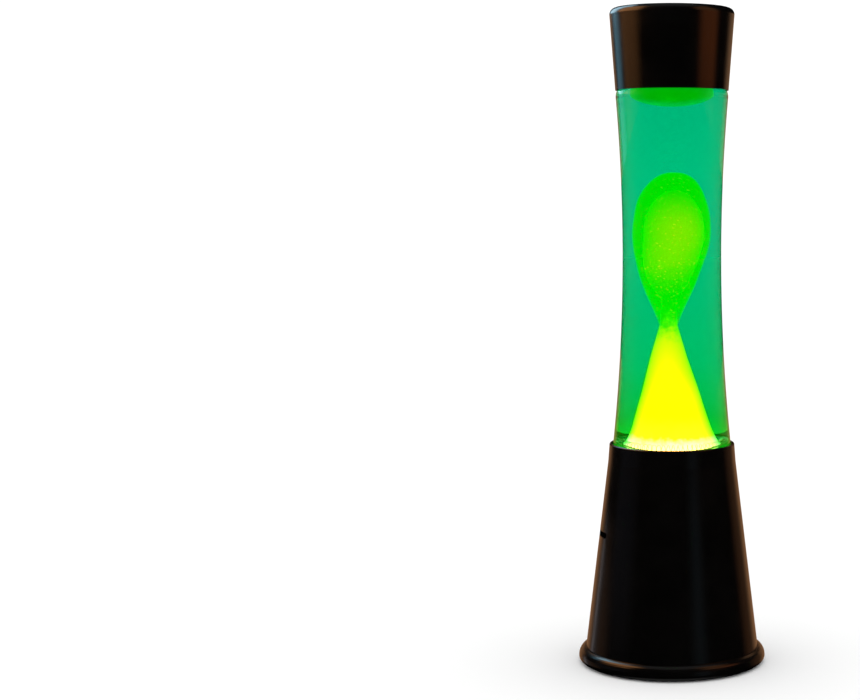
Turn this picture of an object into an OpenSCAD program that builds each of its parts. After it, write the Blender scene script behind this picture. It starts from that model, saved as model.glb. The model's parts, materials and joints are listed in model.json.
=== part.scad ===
// Lava lamp: a spun metal base with a reflector bulb inside, a lift-out glass
// bottle of liquid and wax, and a loose metal cap over the bottle's neck.
// Origin: centre of the footprint on the table. +Z is up and -Y is the front.

/* [Base] */
// Height of the base, from the table to the top of its rolled rim
base_h = 136; // [128:1:180]
// Diameter of the foot bead
foot_d = 115.2; // [96:0.1:150]
// How far the foot bead stands out from the cone
bead_out = 4.5; // [2:0.1:6]
// Height of the foot bead above its widest line
bead_rise = 6; // [3:0.1:8]
// Depth of the foot bead below its widest line
bead_drop = 3.5; // [2:0.1:4]
// Thickness of the base's sheet metal
sheet_t = 0.8; // [0.5:0.1:1.5]
// Thickness of the rim where the sheet is rolled inwards
rim_roll_d = 1.9; // [1.6:0.1:4]
// Height of the steeper collar under the rim
collar_h = 11; // [6:0.5:20]
// How much wider the collar is at its foot than at the rim, on the radius
collar_flare = 0.75; // [0:0.05:3]

/* [Vents and cord inlet] */
// Height of the two vent slots above the table
slot_z = 81; // [50:1:100]
// Length of a vent slot
slot_len = 17; // [8:0.5:24]
// Width of a vent slot
slot_w = 3.4; // [2:0.1:6]
// Direction of the first vent slot, counted from +X
slot_angle = 195; // [180:1:260]
// Height of the cord inlet at the back
inlet_z = 19; // [18:0.5:30]
// Bore of the cord grommet
grommet_bore_d = 7; // [5:0.1:8.5]
// Wall of the cord grommet where it passes through the sheet
grommet_wall = 1.6; // [1:0.1:3]
// How far the grommet's flanges reach past its hole
grommet_lip = 2; // [1:0.1:3]
// Thickness of each grommet flange
grommet_flange_t = 1.6; // [1:0.1:3]

/* [Bottle seat] */
// Depth of the bottle's bottom below the rim
seat_depth = 8; // [6:0.5:10]
// Diameter of the hole that the bulb shines through
seat_hole_d = 46; // [42:0.5:52]
// Thickness of the seat ring
seat_t = 0.8; // [0.6:0.1:1.5]
// Height of the seat ring's welded skirt
seat_skirt_h = 8; // [4:0.5:14]

/* [Bottom plate] */
// Height of the rubber feet, which is also the plate's height above the table
foot_pad_h = 3; // [2:0.1:5]
// Diameter of a rubber foot
foot_pad_d = 12; // [8:0.5:14]
// Thickness of the bottom plate
plate_t = 1; // [0.8:0.1:2]
// Diameter of the vent holes in the bottom plate
plate_vent_d = 7; // [4:0.5:8]
// Radius of the ring of vent holes
plate_vent_ring_r = 31; // [29:0.5:33]
// Thickness of the tabs that the plate is screwed to
tab_t = 1.2; // [0.8:0.1:2]
// Radial reach of a tab
tab_reach = 9; // [8:0.5:12]
// Angle that a tab spans round the base
tab_angle = 12; // [8:1:20]
// Diameter of the plate screws
plate_screw_d = 3; // [2.5:0.1:4]

/* [Bottle] */
// Height of the bottle's curved wall, from its bottom to the shoulder
body_h = 219; // [182:1:290]
// Height of the bottle's neck, from the shoulder to the top of its finish
neck_h = 43; // [36:1:60]
// Diameter of the waist
waist_d = 60.2; // [54:0.1:74]
// Height of the waist above the bottle's bottom
waist_h = 124; // [100:1:140]
// Radius of the long inward curve of the wall
wall_arc_r = 1117; // [900:1:2000]
// Thickness of the bottle's wall
glass_t = 3; // [2:0.1:3.8]
// Thickness of the bottle's floor
floor_t = 5; // [4:0.1:7]
// Outer radius where the wall turns into the floor
heel_r = 8; // [5:0.5:9]
// Inner radius where the wall turns into the floor
inner_heel_r = 5; // [3:0.5:6]
// Rise of the bottle's bottom at its centre
punt_h = 1.5; // [0:0.1:2]
// Outer radius of the shoulder
shoulder_r = 8; // [6:0.5:12]
// Slope of the bottle's top between the shoulder and the neck
dome_slope = 30; // [20:1:40]
// Diameter of the neck
neck_d = 24; // [22:0.1:26]
// Bore of the neck
neck_bore_d = 16.6; // [15:0.1:18]
// Diameter of the finish that the crown closes over
finish_d = 26.6; // [26:0.1:27]

/* [Contents] */
// Height of the liquid above the start of the shoulder
fill_rise = 10; // [6:0.5:12]
// Largest radius of the wax drop
drop_r = 18; // [12:0.1:22]
// Height of the drop's widest part above the bottle's floor
drop_mid_h = 133.4; // [110:0.1:150]
// Height of the drop above its widest part
drop_rise = 35.4; // [20:0.1:45]
// Radius of the thin neck of wax between cone and drop
wax_neck_r = 4.5; // [2:0.1:8]
// Height of the thin neck above the bottle's floor
wax_neck_h = 75.7; // [50:0.1:90]
// Radius of the wax cone at the bottle's floor
wax_foot_r = 21.4; // [12:0.1:22]
// Depth of the wax pool that hangs below the surface, from its widest line
pool_depth = 9.6; // [5:0.1:14]
// Largest radius of the wax pool at the top
pool_r = 20; // [14:0.1:23]
// Height of the pool's widest line above the start of the shoulder
pool_mid_rise = 4; // [2:0.1:5]
// Height of the pool above its widest line
pool_rise = 4.5; // [2:0.1:5]
// Mean radius of the heat-spreading wire ring on the floor
coil_ring_r = 24; // [22:0.1:24.5]
// Outer diameter of the wire coil that the ring is bent from
coil_d = 4.4; // [3:0.1:5]

/* [Closure and cap] */
// Thickness of the sealing liner under the crown
liner_t = 0.6; // [0.4:0.1:1]
// Thickness of the crown's metal
crown_t = 0.3; // [0.2:0.05:0.5]
// Height of the crown's fluted skirt
crown_skirt_h = 5.5; // [4:0.1:6]
// Number of flutes round the crown
crown_flutes = 21; // [21:1:24]
// Depth of the flutes
flute_depth = 0.5; // [0.3:0.05:0.8]
// Gap between the crown and the inside of the cap's top
cap_room = 8.3; // [3:0.1:20]
// Diameter of the cap at its top
cap_top_d = 75.6; // [70:0.1:90]
// Radius of the cap's top edge
cap_edge_r = 4; // [2:0.1:8]
// Thickness of the cap's sheet metal
cap_t = 0.8; // [0.5:0.1:1.2]
// Height of the cap's mouth above the start of the bottle's shoulder
cap_seat_rise = 3.8; // [3:0.1:5]

/* [Bulb] */
// Distance from the top of the bulb to the bottle's bottom
bulb_gap = 16; // [12:0.5:20]
// Length of the bulb with its screw base
bulb_len = 67; // [64:0.5:70]
// Diameter of the reflector bulb
bulb_d = 39; // [32:0.1:46]
// Diameter of the bulb's neck
bulb_neck_d = 15.6; // [15:0.1:17]
// Thickness of the bulb's glass
bulb_glass_t = 0.7; // [0.5:0.1:1]
// Outer diameter of the bulb's screw shell
screw_d = 13; // [12.6:0.1:13.4]
// Height of the bulb's screw shell
screw_h = 17; // [15:0.5:18]

/* [Lampholder] */
// Outer diameter of the lampholder
holder_d = 29; // [27:0.5:34]
// Wall thickness of the lampholder
holder_t = 1.8; // [1.2:0.1:2.5]
// Height of the lampholder's lower cup
holder_cup_h = 22; // [21:0.5:26]
// Height of the lampholder's upper sleeve
holder_sleeve_h = 26; // [22:0.5:28]
// Height of the ceramic insert
insert_h = 11; // [9:0.5:12]
// Diameter of the threaded nipple under the lampholder
nipple_d = 10; // [9:0.5:12]
// Bore of the threaded nipple
nipple_bore_d = 7; // [5:0.5:7]
// Width across the flats of the nipple's nut
nut_flats = 14; // [14:0.5:17]
// Thickness of the nipple's nut
nut_t = 2.6; // [2:0.1:4]
// Width of the strap bracket
bracket_w = 24; // [20:0.5:26]
// Length of the strap bracket's raised top
bracket_top_l = 40; // [38:0.5:44]
// Length of each foot of the strap bracket
bracket_foot_l = 10; // [8:0.5:12]
// Thickness of the strap bracket
bracket_t = 1.2; // [1:0.1:2]
// Diameter of the rivets that hold the bracket
rivet_d = 3.2; // [2.4:0.1:4]

/* [Hidden] */

$fn = 64;
// Gap between the table and the foot bead, which the rubber feet hold up
shell_lift = 0.4;
// Gap between the resting bottle and its seat, and between the cap and the bottle
rest_gap = 0.3;
// Clearance between the rim and the bottle, and between the cap's mouth and the shoulder
rim_gap = 0.4;
// Clearance of the bottom plate inside the base
plate_gap = 0.3;
// Clearance of the bulb's screw shell in the lampholder's thread
thread_gap = 0.4;
// Length that cutting tools run past a wall
over = 2;
// Number of straight steps along a short arc and along a long curve
arc_steps = 8;
curve_steps = 16;

// Bottle: heights, and the centres of its arcs
bottle_z = base_h - seat_depth;
floor_z = bottle_z + floor_t;
waist_r = waist_d / 2;
waist_z = bottle_z + waist_h;
shoulder_z = bottle_z + body_h;
wall_centre_r = waist_r + wall_arc_r;
heel_lean = asin((waist_h - heel_r) / (wall_arc_r + heel_r));
heel_centre = [wall_centre_r - (wall_arc_r + heel_r) * cos(heel_lean), bottle_z + heel_r];
inner_arc_r = wall_arc_r + glass_t;
inner_lean = asin((waist_h - floor_t - inner_heel_r) / (inner_arc_r + inner_heel_r));
inner_centre = [
    wall_centre_r - (inner_arc_r + inner_heel_r) * cos(inner_lean),
    floor_z + inner_heel_r];
shoulder_lean = asin((body_h - waist_h) / (wall_arc_r + shoulder_r));
shoulder_centre = [wall_centre_r - (wall_arc_r + shoulder_r) * cos(shoulder_lean), shoulder_z];
fill_z = shoulder_z + fill_rise;
bottle_top_z = shoulder_z + neck_h;
seal_z = bottle_top_z + liner_t;
crown_top_z = seal_z + crown_t;

// Cap: its mouth clears the shoulder at the height where it rests, and its top clears the crown
cap_z = shoulder_z + cap_seat_rise;
cap_top_z = crown_top_z + cap_room + cap_t;
cap_mouth_in_r = shoulder_centre[0] + sqrt(pow(shoulder_r, 2) - pow(cap_seat_rise, 2)) + rim_gap;
cap_mouth_r = cap_mouth_in_r + cap_t;

// Base: its rim clears the bottle
rim_in_r = wall_centre_r - sqrt(pow(wall_arc_r, 2) - pow(waist_z - base_h, 2)) + rim_gap;
rim_out_r = rim_in_r + rim_roll_d;
roll_r = rim_roll_d / 2;
collar_r = rim_out_r + collar_flare;
collar_z = base_h - collar_h;
skirt_r = foot_d / 2 - bead_out;
skirt_in_r = skirt_r - sheet_t;
bead_mid_z = shell_lift + bead_drop;
bead_top_z = bead_mid_z + bead_rise;
cone_lean = atan((skirt_r - collar_r) / (collar_z - bead_top_z));
seat_top_z = bottle_z - rest_gap;
seat_low_z = seat_top_z - seat_skirt_h;

// Bottom plate and what is fixed to it
pad_margin = 2;
grommet_play = 0.6;
plate_top_z = foot_pad_h + plate_t;
plate_r = skirt_in_r - plate_gap;
tab_hole_r = skirt_in_r - tab_t - (tab_reach - tab_t) / 2;
tab_angles = [30, 150, 270];
pad_ring_r = plate_r - foot_pad_d / 2 - pad_margin;
grommet_hole_d = grommet_bore_d + 2 * grommet_wall;
grommet_groove = sheet_t + grommet_play;

// Bulb and lampholder, stacked down from the bottle's bottom
bulb_top_z = bottle_z - bulb_gap;
bulb_z = bulb_top_z - bulb_len;
contact_h = 1.6;
insulator_h = 3;
screw_chamfer = 0.6;
collar_drop = 2;
throat_h = 7;
face_h = 12;
filament_rise = 12;
screw_z = bulb_z + contact_h + insulator_h;
bulb_neck_z = screw_z + screw_h;
flare_z = bulb_neck_z + throat_h;
bulb_wide_z = bulb_top_z - face_h;
bulb_neck_r = bulb_neck_d / 2;
bulb_r = bulb_d / 2;
filament_z = flare_z + filament_rise;
contact_gap = 0.2;
spring_t = 0.5;
insert_top_z = bulb_z - contact_gap - 2 * spring_t;
cup_top_z = insert_top_z + spring_t;
holder_z = cup_top_z - holder_cup_h;
holder_r = holder_d / 2;
insert_r = holder_r - holder_t;
thread_in_r = screw_d / 2 + thread_gap;
thread_t = 0.4;
thread_z = cup_top_z + 2;
thread_top_z = bulb_neck_z - collar_drop - thread_gap;
bracket_z = holder_z - bracket_t;
washer_t = 0.6;
foot_mid_x = bracket_top_l / 2 + bracket_foot_l / 2;
terminal_x = 0.62 * insert_r;
terminal_d = 3;
terminal_l = 6;

// Filament and the two wires that carry it
filament_r = 5;
wire_r = 0.3;

// Points on an arc about [r, z], from one angle to another
function arc(c, rad, a0, a1, n) =
    [for (i = [0:n]) let (a = a0 + (a1 - a0) * i / n) [c[0] + rad * cos(a), c[1] + rad * sin(a)]];

// Points on a quarter of an ellipse about [r, z]
function oval(c, rx, rz, a0, a1, n) =
    [for (i = [0:n]) let (a = a0 + (a1 - a0) * i / n) [c[0] + rx * cos(a), c[1] + rz * sin(a)]];

// Points on the bottle's long wall curve, at a radius about the curve's far centre
function wall(rad, a0, a1, n) =
    [for (i = [0:n])
        let (a = a0 + (a1 - a0) * i / n) [wall_centre_r - rad * cos(a), waist_z + rad * sin(a)]];

// The list of points in the other order
function flipped(p) = [for (i = [len(p) - 1:-1:0]) p[i]];

// Height at which the bottle's sloping top reaches radius r, from its shoulder arc
function dome_z(r, rad) =
    shoulder_z + rad * cos(dome_slope)
    + (shoulder_centre[0] + rad * sin(dome_slope) - r) * tan(dome_slope);

// Radius of the bottle's sloping inner top at height z
function dome_in_r(z) =
    shoulder_centre[0] + (shoulder_r - glass_t) * sin(dome_slope)
    - (z - shoulder_z - (shoulder_r - glass_t) * cos(dome_slope)) / tan(dome_slope);

// Inner radius of the base's sheet at height z
function shell_in_r(z) = (z > collar_z
    ? rim_out_r + collar_flare * (base_h - rim_roll_d - z) / (collar_h - rim_roll_d)
    : collar_r + (collar_z - z) * tan(cone_lean)) - sheet_t;

// Radius of the wax column at height h above the bottle's floor
function wax_r(h) =
    h < wax_neck_h ? wax_neck_r + (wax_foot_r - wax_neck_r) * (wax_neck_h - h) / wax_neck_h
    : h < drop_mid_h ? wax_neck_r
        + (drop_r - wax_neck_r) * pow(sin(90 * (h - wax_neck_h) / (drop_mid_h - wax_neck_h)), 1.2)
    : drop_r * pow(max(0, 1 - pow((h - drop_mid_h) / drop_rise, 2)), 0.42);

// Radius of the bulb's flare, a share s of the way up it
function flare_r(s) = bulb_neck_r + (bulb_r - bulb_neck_r) * sin(90 * s);

// Outline of the bulb's glass from its neck to its top, thinner by t
function bulb_outline(t) = concat(
    [[bulb_neck_r - t, bulb_neck_z], [bulb_neck_r - t, flare_z]],
    [for (i = [1:curve_steps])
        let (s = i / curve_steps) [flare_r(s) - t, flare_z + (bulb_wide_z - flare_z) * s]],
    oval([0, bulb_wide_z], bulb_r - t, bulb_top_z - bulb_wide_z - t, 10, 90, arc_steps));

// Outline of the bottle's cavity from the floor to the top of the shoulder's arc
cavity_outline = concat(
    [[0, floor_z]],
    arc(inner_centre, inner_heel_r, -90, inner_lean, arc_steps),
    wall(inner_arc_r, -inner_lean, shoulder_lean, curve_steps),
    arc(shoulder_centre, shoulder_r - glass_t, -shoulder_lean, 90 - dome_slope, arc_steps));

// A ring or tube that stands on z
module tube(r_out, r_in, z, h) {
    difference() {
        translate([0, 0, z]) cylinder(h = h, r = r_out);
        translate([0, 0, z - over]) cylinder(h = h + 2 * over, r = r_in);
    }
}

// A pan-head screw at the origin, pointing up, with a cross recess in its head
module screw(d, h) {
    head_d = 1.8 * d;
    head_h = 0.6 * d;
    recess_w = 0.25 * d;
    recess_depth = 0.3 * d;
    difference() {
        union() {
            cylinder(h = h, d = d);
            translate([0, 0, -head_h]) cylinder(h = head_h, d = head_d);
        }
        for (turn = [0, 90])
            rotate([0, 0, turn])
                translate([-d / 2, -recess_w / 2, -head_h - over])
                    cube([d, recess_w, recess_depth + over]);
    }
}

// A slot through the base's wall, seen from outside as a long rounded hole
module slot_cut(turn) {
    rotate([0, 0, turn])
        translate([shell_in_r(slot_z) - 2 * over, 0, slot_z])
            rotate([0, 90, 0]) {
                for (side = [-1, 1])
                    translate([0, side * (slot_len - slot_w) / 2, 0])
                        cylinder(h = 5 * over, d = slot_w);
                translate([-slot_w / 2, -(slot_len - slot_w) / 2, 0])
                    cube([slot_w, slot_len - slot_w, 5 * over]);
            }
}

// Places its children at the cord inlet, with +Z out along the wall's normal
module at_inlet() {
    translate([0, shell_in_r(inlet_z) + sheet_t, inlet_z]) rotate([cone_lean - 90, 0, 0]) children();
}

module base_shell() {
    color("#151311")
    difference() {
        rotate_extrude()
            polygon(concat(
                arc([rim_in_r + roll_r, base_h - roll_r], roll_r, 180, 0, arc_steps),
                [[collar_r, collar_z]],
                oval([skirt_r, bead_mid_z], bead_out, bead_rise, 90, 0, arc_steps),
                oval([skirt_r, bead_mid_z], bead_out, bead_drop, -10, -90, arc_steps),
                [[skirt_in_r, shell_lift],
                [skirt_in_r, bead_top_z],
                [collar_r - sheet_t, collar_z],
                [rim_out_r - sheet_t, base_h - rim_roll_d]]));
        slot_cut(slot_angle);
        slot_cut(slot_angle + 180);
        at_inlet()
            translate([0, 0, -2 * over]) cylinder(h = 4 * over, d = grommet_hole_d);
    }
}

module bottle_seat() {
    bend = collar_z < seat_top_z && collar_z > seat_low_z ? [collar_z] : [];
    levels = concat([seat_top_z], bend, [seat_low_z]);
    color("#8b8d90")
    rotate_extrude()
        polygon(concat(
            [[seat_hole_d / 2, seat_top_z]],
            [for (z = levels) [shell_in_r(z), z]],
            [for (z = flipped(levels)) [shell_in_r(z) - seat_t, min(z, seat_top_z - seat_t)]],
            [[seat_hole_d / 2, seat_top_z - seat_t]]));
}

module cord_grommet() {
    lip_r = grommet_hole_d / 2 + grommet_lip;
    color("#1a1a1a")
    at_inlet()
        rotate_extrude()
            polygon([
                [grommet_bore_d / 2, -grommet_groove - grommet_flange_t],
                [lip_r, -grommet_groove - grommet_flange_t],
                [lip_r, -grommet_groove],
                [grommet_hole_d / 2, -grommet_groove],
                [grommet_hole_d / 2, 0],
                [lip_r, 0],
                [lip_r - grommet_flange_t / 2, grommet_flange_t],
                [grommet_bore_d / 2, grommet_flange_t]]);
}

module bottom_plate() {
    vent_pitch = 22.5;
    color("#2a2a2c")
    difference() {
        translate([0, 0, foot_pad_h]) cylinder(h = plate_t, r = plate_r);
        for (side = [90, 270], step = [-2:2])
            rotate([0, 0, side + step * vent_pitch])
                translate([plate_vent_ring_r, 0, foot_pad_h - over])
                    cylinder(h = plate_t + 2 * over, d = plate_vent_d);
        for (turn = tab_angles)
            rotate([0, 0, turn])
                translate([tab_hole_r, 0, foot_pad_h - over])
                    cylinder(h = plate_t + 2 * over, d = plate_screw_d);
        for (side = [-1, 1])
            translate([side * foot_mid_x, 0, foot_pad_h - over])
                cylinder(h = plate_t + 2 * over, d = rivet_d);
    }
}

module plate_tabs() {
    color("#8b8d90")
    for (turn = tab_angles)
        difference() {
            rotate([0, 0, turn - tab_angle / 2])
                rotate_extrude(angle = tab_angle)
                    polygon([
                        [skirt_in_r - tab_reach, plate_top_z],
                        [skirt_in_r, plate_top_z],
                        [skirt_in_r, bead_top_z],
                        [skirt_in_r - tab_t, bead_top_z],
                        [skirt_in_r - tab_t, plate_top_z + tab_t],
                        [skirt_in_r - tab_reach, plate_top_z + tab_t]]);
            rotate([0, 0, turn])
                translate([tab_hole_r, 0, plate_top_z - over])
                    cylinder(h = tab_t + 2 * over, d = plate_screw_d);
        }
}

module plate_screws() {
    screw_tail = 1;
    color("#b9bbbe")
    for (turn = tab_angles)
        rotate([0, 0, turn])
            translate([tab_hole_r, 0, foot_pad_h]) screw(plate_screw_d, plate_t + tab_t + screw_tail);
}

module rubber_feet() {
    foot_taper = 1;
    color("#202020")
    for (turn = [45:90:315])
        rotate([0, 0, turn])
            translate([pad_ring_r, 0, 0])
                rotate_extrude()
                    polygon([
                        [0, 0],
                        [foot_pad_d / 2 - foot_taper, 0],
                        [foot_pad_d / 2, foot_pad_h],
                        [0, foot_pad_h]]);
}

module socket_bracket() {
    half = bracket_top_l / 2;
    reach = half + bracket_foot_l;
    color("#8b8d90")
    difference() {
        translate([0, bracket_w / 2, 0])
            rotate([90, 0, 0])
                linear_extrude(height = bracket_w)
                    polygon([
                        [-reach, plate_top_z], [-half + bracket_t, plate_top_z],
                        [-half + bracket_t, bracket_z], [half - bracket_t, bracket_z],
                        [half - bracket_t, plate_top_z], [reach, plate_top_z],
                        [reach, plate_top_z + bracket_t], [half, plate_top_z + bracket_t],
                        [half, holder_z], [-half, holder_z],
                        [-half, plate_top_z + bracket_t], [-reach, plate_top_z + bracket_t]]);
        translate([0, 0, bracket_z - over]) cylinder(h = bracket_t + 2 * over, d = nipple_d);
        for (side = [-1, 1])
            translate([side * foot_mid_x, 0, plate_top_z - over])
                cylinder(h = bracket_t + 2 * over, d = rivet_d);
    }
}

module bracket_rivets() {
    head_d = 2 * rivet_d;
    head_h = 0.35 * rivet_d;
    grip = plate_t + bracket_t;
    color("#b9bbbe")
    for (side = [-1, 1])
        translate([side * foot_mid_x, 0, foot_pad_h]) {
            translate([0, 0, -head_h]) cylinder(h = head_h, d = head_d);
            cylinder(h = grip, d = rivet_d);
            translate([0, 0, grip]) cylinder(h = head_h, d1 = head_d, d2 = 0.6 * head_d);
        }
}

module threaded_nipple() {
    tail = 2;
    reach = 4;
    low_z = bracket_z - washer_t - nut_t - tail;
    color("#c9a24a")
    tube(nipple_d / 2, nipple_bore_d / 2, low_z, holder_z + reach - low_z);
}

module lock_washer() {
    rim = 2.2;
    color("#9a9c9f")
    tube(nipple_d / 2 + rim, nipple_d / 2, bracket_z - washer_t, washer_t);
}

module nipple_nut() {
    color("#9a9c9f")
    difference() {
        translate([0, 0, bracket_z - washer_t - nut_t])
            cylinder(h = nut_t, d = nut_flats / cos(30), $fn = 6);
        translate([0, 0, bracket_z - washer_t - nut_t - over])
            cylinder(h = nut_t + 2 * over, d = nipple_d);
    }
}

module lampholder_cup() {
    boss_t = 3;
    boss_h = 3;
    floor_h = 5;
    dish_h = 8;
    wall_h = 10;
    ledge = 1;
    nipple_r = nipple_d / 2;
    insert_z = insert_top_z - insert_h;
    color("#f1efe8")
    rotate_extrude()
        polygon([
            [nipple_r, holder_z],
            [nipple_r + boss_t, holder_z],
            [nipple_r + boss_t, holder_z + boss_h],
            [holder_r - ledge, holder_z + dish_h],
            [holder_r, holder_z + wall_h],
            [holder_r, cup_top_z],
            [insert_r, cup_top_z],
            [insert_r, insert_z],
            [insert_r - ledge, insert_z],
            [insert_r - ledge, holder_z + dish_h + ledge],
            [nipple_r + boss_t - ledge, holder_z + floor_h],
            [nipple_r, holder_z + floor_h]]);
}

module lampholder_sleeve() {
    band_h = 4;
    step_h = 1;
    step_in = 1.2;
    top_in = 1.8;
    mouth_play = 1.6;
    top_z = cup_top_z + holder_sleeve_h;
    color("#f1efe8")
    rotate_extrude()
        polygon([
            [thread_in_r + thread_t, cup_top_z],
            [holder_r, cup_top_z],
            [holder_r, cup_top_z + band_h],
            [holder_r - step_in, cup_top_z + band_h + step_h],
            [holder_r - top_in, top_z],
            [thread_in_r + mouth_play, top_z],
            [thread_in_r + mouth_play, thread_top_z],
            [thread_in_r + thread_t, thread_top_z]]);
}

module lampholder_insert() {
    roof_t = 5;
    color("#e9e2d2")
    difference() {
        translate([0, 0, insert_top_z - insert_h]) cylinder(h = insert_h, r = insert_r);
        translate([0, 0, insert_top_z - insert_h - over])
            cylinder(h = insert_h - roof_t + over, d = nipple_d);
        for (side = [-1, 1])
            translate([side * terminal_x, 0, insert_top_z - insert_h - over])
                cylinder(h = terminal_l + over, d = terminal_d);
    }
}

module terminal_screws() {
    color("#c9a24a")
    for (side = [-1, 1])
        translate([side * terminal_x, 0, insert_top_z - insert_h]) screw(terminal_d, terminal_l);
}

module lampholder_thread() {
    color("#d0b15a")
    tube(thread_in_r + thread_t, thread_in_r, thread_z, thread_top_z - thread_z);
}

module centre_contact() {
    strip_l = 8;
    strip_w = 4;
    tip_r = 2.2;
    tip_x = 3;
    color("#d0b15a")
    translate([0, 0, insert_top_z]) {
        translate([-tip_x, -strip_w / 2, 0]) cube([strip_l, strip_w, spring_t]);
        translate([0, 0, spring_t]) cylinder(h = spring_t, r = tip_r);
    }
}

module side_contact() {
    cut_y = 4;
    color("#d0b15a")
    difference() {
        tube(insert_r, thread_in_r, insert_top_z, spring_t);
        translate([-holder_d, -cut_y, insert_top_z - over])
            cube([2 * holder_d, holder_d, spring_t + 2 * over]);
    }
}

module bulb_contact() {
    low_r = 1.6;
    high_r = 2.6;
    color("#c7c9cc")
    translate([0, 0, bulb_z]) cylinder(h = contact_h, r1 = low_r, r2 = high_r);
}

module bulb_insulator() {
    low_r = 2.8;
    color("#15151a")
    translate([0, 0, bulb_z + contact_h])
        cylinder(h = insulator_h, r1 = low_r, r2 = screw_d / 2 - screw_chamfer);
}

module bulb_screw_shell() {
    wall_t = 0.35;
    slope_h = 1;
    collar_rise = 0.5;
    collar_top = 3;
    screw_r = screw_d / 2;
    color("#c9cbce")
    rotate_extrude()
        polygon([
            [screw_r - screw_chamfer, screw_z],
            [screw_r, screw_z + slope_h],
            [screw_r, bulb_neck_z - collar_drop],
            [bulb_neck_r + wall_t, bulb_neck_z + collar_rise],
            [bulb_neck_r + wall_t, bulb_neck_z + collar_top],
            [bulb_neck_r, bulb_neck_z + collar_top],
            [bulb_neck_r, bulb_neck_z],
            [screw_r - wall_t, bulb_neck_z - collar_drop - wall_t / 2],
            [screw_r - wall_t, screw_z + slope_h + wall_t / 2],
            [0, screw_z + wall_t],
            [0, screw_z]]);
}

module bulb_envelope() {
    inner = bulb_outline(bulb_glass_t);
    color("#e8f0f0", 0.4)
    rotate_extrude()
        polygon(concat(bulb_outline(0), flipped(inner)));
}

module bulb_reflector() {
    skin_t = 0.15;
    steps = [for (i = [1:curve_steps]) i / curve_steps];
    color("#d8dadd")
    rotate_extrude()
        polygon(concat(
            [for (s = steps) [flare_r(s) - bulb_glass_t, flare_z + (bulb_wide_z - flare_z) * s]],
            [for (s = flipped(steps))
                [flare_r(s) - bulb_glass_t - skin_t, flare_z + (bulb_wide_z - flare_z) * s]]));
}

module bulb_stem() {
    rim_t = 1;
    root_h = 4;
    root_r = 3;
    tip_h = 3;
    tip_r = 2.6;
    seal_r = bulb_neck_r - bulb_glass_t;
    color("#e8f0f0", 0.5)
    rotate_extrude()
        polygon([
            [0, bulb_neck_z - rim_t],
            [seal_r, bulb_neck_z],
            [seal_r, bulb_neck_z + rim_t],
            [root_r, bulb_neck_z + root_h],
            [tip_r, flare_z + tip_h - 1],
            [0, flare_z + tip_h]]);
}

module bulb_leads() {
    root_z = bulb_neck_z + 2;
    color("#a8aaad")
    for (side = [-1, 1])
        difference() {
            translate([side * filament_r, 0, root_z])
                cylinder(h = filament_z - wire_r - root_z, r = wire_r);
            bulb_stem();
        }
}

module bulb_filament() {
    color("#6a6a6e")
    translate([0, 0, filament_z])
        rotate([0, 0, 180])
            rotate_extrude(angle = 180) translate([filament_r, 0]) circle(r = wire_r, $fn = 24);
}

module glass_bottle() {
    neck_r = neck_d / 2;
    finish_r = finish_d / 2;
    bore_r = neck_bore_d / 2;
    punt_width = 8;
    lock_h = 4.5;
    groove_h = 8;
    groove_lip = 0.4;
    bead_h = 3;
    bead_low = 13;
    edge = 1;
    color("#bfe8dc", 0.4)
    rotate_extrude()
        polygon(concat(
            [[0, bottle_z + punt_h]],
            [[heel_centre[0] - punt_width, bottle_z]],
            arc(heel_centre, heel_r, -90, heel_lean, arc_steps),
            wall(wall_arc_r, -heel_lean, shoulder_lean, curve_steps),
            arc(shoulder_centre, shoulder_r, -shoulder_lean, 90 - dome_slope, arc_steps),
            [[neck_r, dome_z(neck_r, shoulder_r)],
            [neck_r, bottle_top_z - bead_low - edge],
            [finish_r, bottle_top_z - bead_low],
            [finish_r, bottle_top_z - bead_low + bead_h],
            [neck_r + groove_lip, bottle_top_z - groove_h],
            [finish_r, bottle_top_z - lock_h],
            [finish_r, bottle_top_z - edge],
            [finish_r - edge, bottle_top_z],
            [bore_r, bottle_top_z],
            [bore_r, dome_z(bore_r, shoulder_r - glass_t)]],
            flipped(cavity_outline)));
}

module wax_column() {
    top_h = drop_mid_h + drop_rise;
    heights = concat(
        [for (i = [0:curve_steps]) wax_neck_h * i / curve_steps],
        [for (i = [1:arc_steps]) wax_neck_h + (drop_mid_h - wax_neck_h) * i / arc_steps],
        [for (i = [1:arc_steps]) drop_mid_h + drop_rise * sin(90 * i / arc_steps)]);
    color("#a8f000")
    rotate_extrude()
        polygon(concat([[0, floor_z]], [for (h = heights) [h < top_h ? wax_r(h) : 0, floor_z + h]]));
}

module wax_top_pool() {
    middle = [0, shoulder_z + pool_mid_rise];
    color("#20c020")
    rotate_extrude()
        polygon(concat(
            oval(middle, pool_r, pool_depth, -90, 0, arc_steps),
            oval(middle, pool_r, pool_rise, 10, 90, arc_steps)));
}

module wire_coil() {
    color("#9a9a9a")
    translate([0, 0, floor_z + coil_d / 2 + rest_gap])
        rotate_extrude() translate([coil_ring_r, 0]) circle(d = coil_d, $fn = 32);
}

module lava_liquid() {
    color("#00c87a", 0.5)
    difference() {
        rotate_extrude() polygon(concat(cavity_outline, [[dome_in_r(fill_z), fill_z], [0, fill_z]]));
        wax_column();
        wax_top_pool();
        wire_coil();
    }
}

module closure_liner() {
    liner_play = 1.5;
    color("#e8e8e4")
    translate([0, 0, bottle_top_z]) cylinder(h = liner_t, d = finish_d - liner_play);
}

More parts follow.
